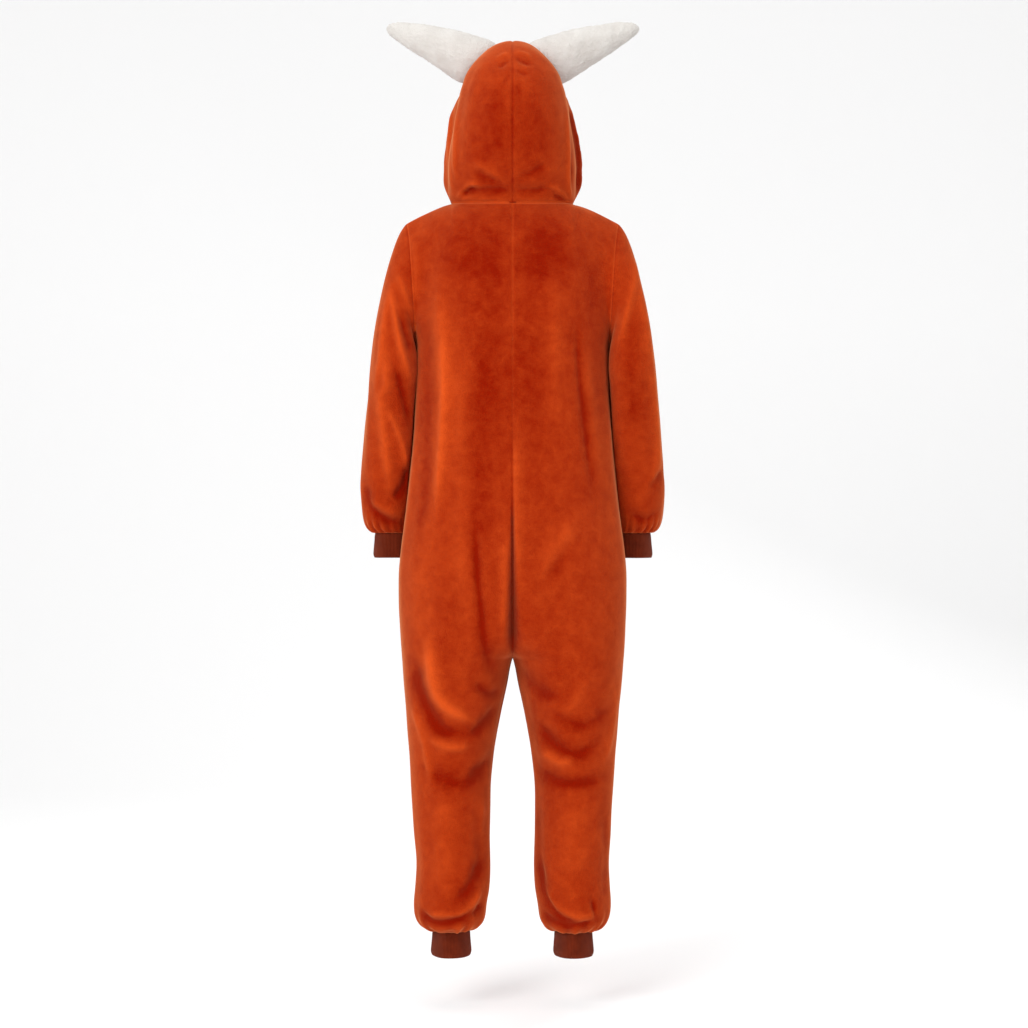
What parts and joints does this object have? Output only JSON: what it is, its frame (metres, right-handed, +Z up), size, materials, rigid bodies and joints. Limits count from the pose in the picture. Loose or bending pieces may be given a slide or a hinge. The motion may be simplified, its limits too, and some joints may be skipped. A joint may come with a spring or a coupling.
{
  "type": "hooded onesie",
  "caption": "Hooded one-piece animal costume in plush cloth, worn open and hollow, with knit cuffs and stuffed horns on the hood.",
  "frame": {"origin": "midway between the high shoulder points, where the neck seam crosses the shoulder seams", "axes": "+X to the wearer's right, +Y to the wearer's front, +Z up"},
  "size_m": [0.541, 0.2712, 1.6448],
  "materials": {
    "rust_plush": "short-pile plush, matt with a soft sheen",
    "knit_cuff": "fine rib knit, matt",
    "cream_plush": "long soft plush, matt",
    "button": "satin moulded button"
  },
  "bodies": {
    "root": {"ankle_cuff_left": "knit_cuff", "ankle_cuff_right": "knit_cuff", "back_left": "rust_plush", "back_right": "rust_plush", "button_1": "button", "button_2": "button", "button_3": "button", "button_4": "button", "button_5": "button", "button_6": "button", "front_left": "rust_plush", "front_right": "rust_plush", "hood_left": "rust_plush", "hood_right": "rust_plush", "horn_left": "cream_plush", "horn_right": "cream_plush", "placket": "rust_plush", "sleeve_left": "rust_plush", "sleeve_right": "rust_plush", "wrist_cuff_left": "knit_cuff", "wrist_cuff_right": "knit_cuff"}
  },
  "joints": []
}
